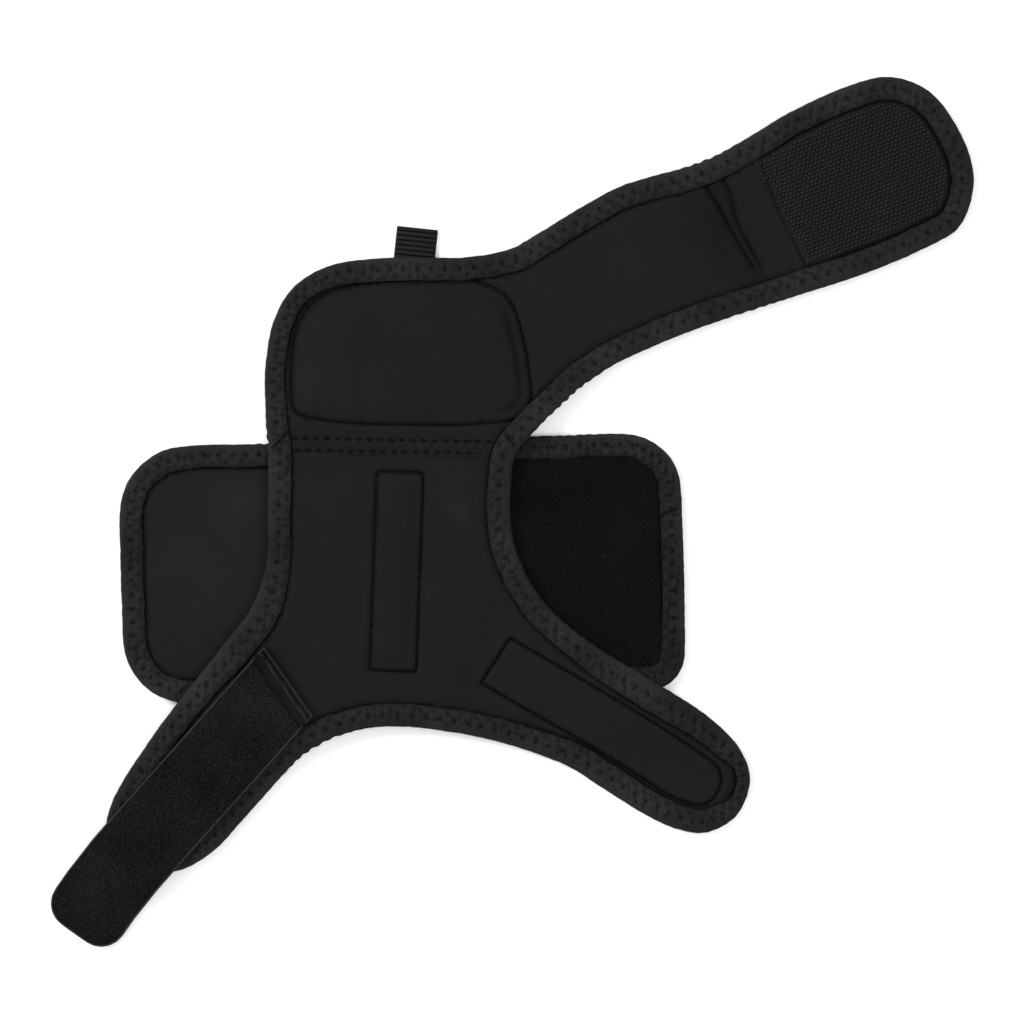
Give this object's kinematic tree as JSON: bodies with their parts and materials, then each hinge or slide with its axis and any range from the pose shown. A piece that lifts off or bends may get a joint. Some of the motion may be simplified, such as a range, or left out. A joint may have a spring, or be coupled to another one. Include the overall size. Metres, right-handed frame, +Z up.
{
  "type": "wrist guard",
  "caption": "Soft wrist guard laid open: padded hand panel with a long wrap strap, stayed wrist panel with lower straps, and a wide wrist band behind.",
  "frame": {"origin": "centre of the open guard's plan box, on the surface it lies on", "axes": "+Z up out of the skin side, +Y towards the fingers, +X towards the end of the hand strap"},
  "size_m": [0.3366, 0.3174, 0.0108],
  "materials": {
    "neoprene_laminate": "matt jersey-faced foam",
    "binding_tape": "matt knitted tape with zigzag stitching",
    "loop_pile": "napped loop",
    "loop_webbing": "napped loop with lighter selvedges",
    "hook_tape": "rows of small moulded hooks",
    "webbing": "ribbed woven tape",
    "foam": "closed-cell foam",
    "stay": "plain"
  },
  "bodies": {
    "palm": {"band_centre_panel": "neoprene_laminate", "band_top_binding": "binding_tape", "band_bottom_binding": "binding_tape", "centre_loop_pile": "loop_pile", "lower_panel": "neoprene_laminate", "upper_panel": "neoprene_laminate", "upper_binding": "binding_tape", "upper_corner_binding": "binding_tape", "waist_left_binding": "binding_tape", "waist_right_binding": "binding_tape", "crotch_binding": "binding_tape", "seam_tape": "binding_tape", "pad_cover": "neoprene_laminate", "pad_foam": "foam", "stay_sleeve": "neoprene_laminate", "stay": "stay", "pull_tab_sewn_end": "webbing"},
    "hand_strap": {"hand_strap_panel": "neoprene_laminate", "hand_strap_top_binding": "binding_tape", "hand_strap_bottom_binding": "binding_tape"},
    "strap_tip": {"strap_tip_panel": "neoprene_laminate", "strap_tip_binding": "binding_tape", "hand_hook_patch": "hook_tape"},
    "left_arm": {"left_arm_panel": "neoprene_laminate", "left_arm_binding": "binding_tape", "loop_strap_sewn_end": "loop_webbing"},
    "loop_strap": {"loop_strap": "loop_webbing"},
    "right_arm": {"right_arm_panel": "neoprene_laminate", "right_arm_binding": "binding_tape", "right_arm_hook_tape": "hook_tape"},
    "left_wing": {"left_wing_panel": "neoprene_laminate", "left_wing_binding": "binding_tape", "left_wing_hook_patch": "hook_tape"},
    "right_wing": {"right_wing_panel": "neoprene_laminate", "right_wing_binding": "binding_tape", "right_wing_loop_pile": "loop_pile"},
    "pull_tab": {"pull_tab": "webbing"}
  },
  "joints": [
    {"name": "hand_strap_fold", "type": "hinge", "parent": "palm", "child": "hand_strap", "pos_m": [0.01091, 0.06676, 0.0077], "axis": [0.1797, -0.9837, 0], "range_deg": [0, 100]},
    {"name": "strap_tip_fold", "type": "hinge", "parent": "hand_strap", "child": "strap_tip", "pos_m": [0.08171, 0.10126, 0.0077], "axis": [0.3547, -0.935, 0], "range_deg": [0, 90]},
    {"name": "left_arm_fold", "type": "hinge", "parent": "palm", "child": "left_arm", "pos_m": [-0.07589, -0.05484, 0.0077], "axis": [-0.5802, 0.8145, 0], "range_deg": [0, 80]},
    {"name": "loop_strap_lift", "type": "hinge", "parent": "left_arm", "child": "loop_strap", "pos_m": [-0.09063, -0.06757, 0.0098], "axis": [-0.5728, 0.8197, 0], "range_deg": [0, 30]},
    {"name": "right_arm_fold", "type": "hinge", "parent": "palm", "child": "right_arm", "pos_m": [-0.00979, -0.05054, 0.0077], "axis": [-0.4061, -0.9138, 0], "range_deg": [0, 80]},
    {"name": "left_wing_fold", "type": "hinge", "parent": "palm", "child": "left_wing", "pos_m": [-0.10909, -0.02264, 0.0034], "axis": [0.3254, 0.9456, 0], "range_deg": [0, 100]},
    {"name": "right_wing_fold", "type": "hinge", "parent": "palm", "child": "right_wing", "pos_m": [0.03461, -0.01784, 0.004], "axis": [0.4191, -0.908, 0], "range_deg": [0, 100]},
    {"name": "pull_tab_flip", "type": "hinge", "parent": "palm", "child": "pull_tab", "pos_m": [-0.03551, 0.09345, 0.004], "axis": [0.9945, -0.1045, 0], "range_deg": [0, 90]}
  ]
}
